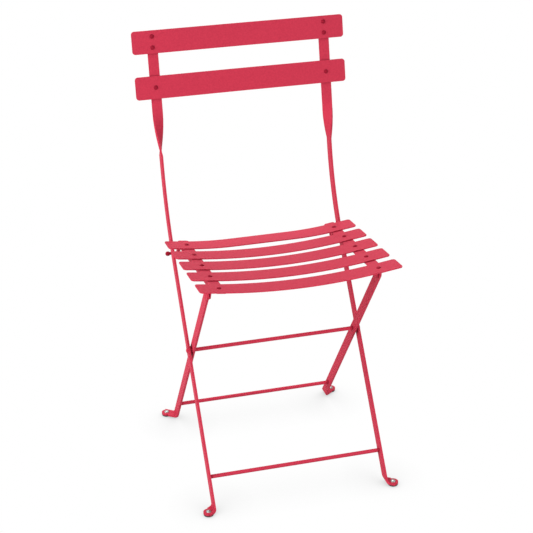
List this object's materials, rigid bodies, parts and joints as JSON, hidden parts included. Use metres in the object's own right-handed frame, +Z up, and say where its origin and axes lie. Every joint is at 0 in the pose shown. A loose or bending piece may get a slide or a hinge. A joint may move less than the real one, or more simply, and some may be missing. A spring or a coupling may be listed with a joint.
{
  "type": "folding metal bistro chair",
  "caption": "Folding bistro chair of red painted flat steel bar, with a slatted seat, a slatted back, crossed legs, round stretchers and pad feet on black glides",
  "frame": {"origin": "On the floor, midway between the sides and midway between the frontmost and rearmost points of the open chair", "axes": "+Z is up, -Y is the way the sitter faces, +X is to the right as seen from in front"},
  "size_m": [0.42, 0.4378, 0.8215],
  "materials": {
    "red_paint": "fine textured powder coat, satin",
    "rivet_steel": "plain zinc-plated foot rivets",
    "black_plastic": "moulded matte glides"
  },
  "bodies": {
    "back_frame": {"left_upright": "red_paint", "right_upright": "red_paint", "top_back_slat": "red_paint", "lower_back_slat": "red_paint", "back_slat_rivets": "red_paint", "front_stretcher": "red_paint", "front_foot_glides": "black_plastic", "front_foot_rivets": "rivet_steel"},
    "leg_frame": {"left_short_leg": "red_paint", "right_short_leg": "red_paint", "pivot_rod": "red_paint", "left_pivot_washer": "red_paint", "right_pivot_washer": "red_paint", "rear_stretcher": "red_paint", "rear_foot_glides": "black_plastic", "rear_foot_rivets": "rivet_steel"},
    "seat": {"left_seat_rail": "red_paint", "right_seat_rail": "red_paint", "front_seat_slat": "red_paint", "second_seat_slat": "red_paint", "middle_seat_slat": "red_paint", "fourth_seat_slat": "red_paint", "rear_seat_slat": "red_paint", "seat_slat_rivets": "red_paint", "left_guide_pin": "red_paint", "right_guide_pin": "red_paint", "left_seat_pivot_pin": "red_paint", "right_seat_pivot_pin": "red_paint", "left_seat_pivot_washer": "red_paint", "right_seat_pivot_washer": "red_paint"}
  },
  "joints": [
    {"name": "leg_fold", "type": "hinge", "parent": "back_frame", "child": "leg_frame", "pos_m": [0, -0.01606, 0.252], "axis": [-1, 0, 0], "range_deg": [0, 55]},
    {"name": "seat_fold", "type": "hinge", "parent": "leg_frame", "child": "seat", "pos_m": [0, -0.15489, 0.43033], "axis": [1, 0, 0], "range_deg": [0, 113.4]}
  ],
  "couplings": [
    {"joint": "seat_fold", "follows": "leg_fold", "ratio": 2.06}
  ]
}
